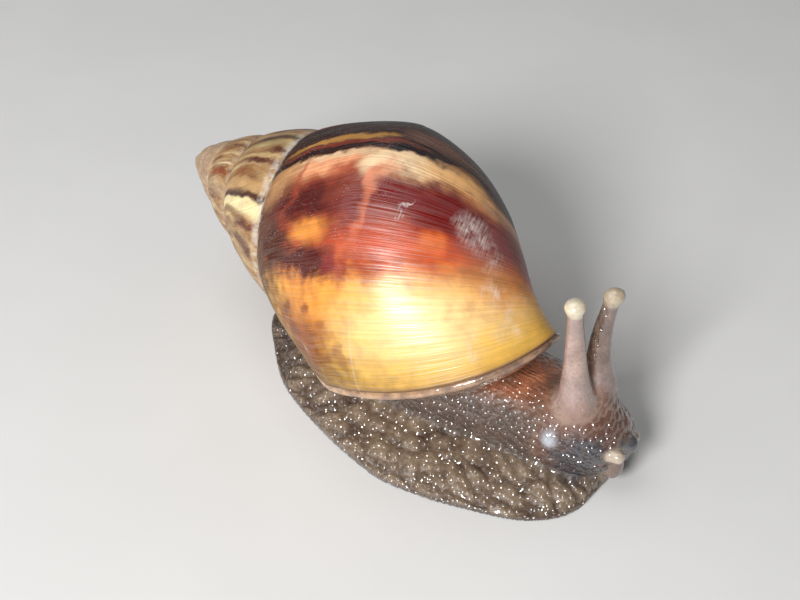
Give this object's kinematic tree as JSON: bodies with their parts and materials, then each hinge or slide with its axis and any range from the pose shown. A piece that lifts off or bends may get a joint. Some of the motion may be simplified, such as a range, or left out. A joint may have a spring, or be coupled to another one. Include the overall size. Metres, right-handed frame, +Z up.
{
  "type": "giant african land snail",
  "caption": "Still life-size giant African land snail crawling with its tall spiral shell raised, neck stretched and upper feelers upright.",
  "frame": {"origin": "under the middle of the whole animal's box, on the floor that the foot rests on", "axes": "+X the way the animal crawls and along the shell's axis, +Y its left side, +Z up"},
  "size_m": [0.0986, 0.0468, 0.0477],
  "materials": {
    "shell": "glossy amber and maroon shell with darker bands, pale scuffs and fine growth lines",
    "skin": "wet grey-brown skin with raised grains, redder on the neck and paler on the feelers",
    "eye": "small dark eye under clear skin"
  },
  "bodies": {
    "root": {"shell": "shell", "mantle": "skin", "neck": "skin", "head": "skin", "foot_tail": "skin", "foot_middle": "skin", "foot_front": "skin", "feeler_upper_right": "skin", "feeler_upper_left": "skin", "feeler_lower_right": "skin", "feeler_lower_left": "skin", "lip_right": "skin", "lip_left": "skin", "flap_right": "skin", "flap_left": "skin", "eye_right": "eye", "eye_left": "eye"}
  },
  "joints": []
}
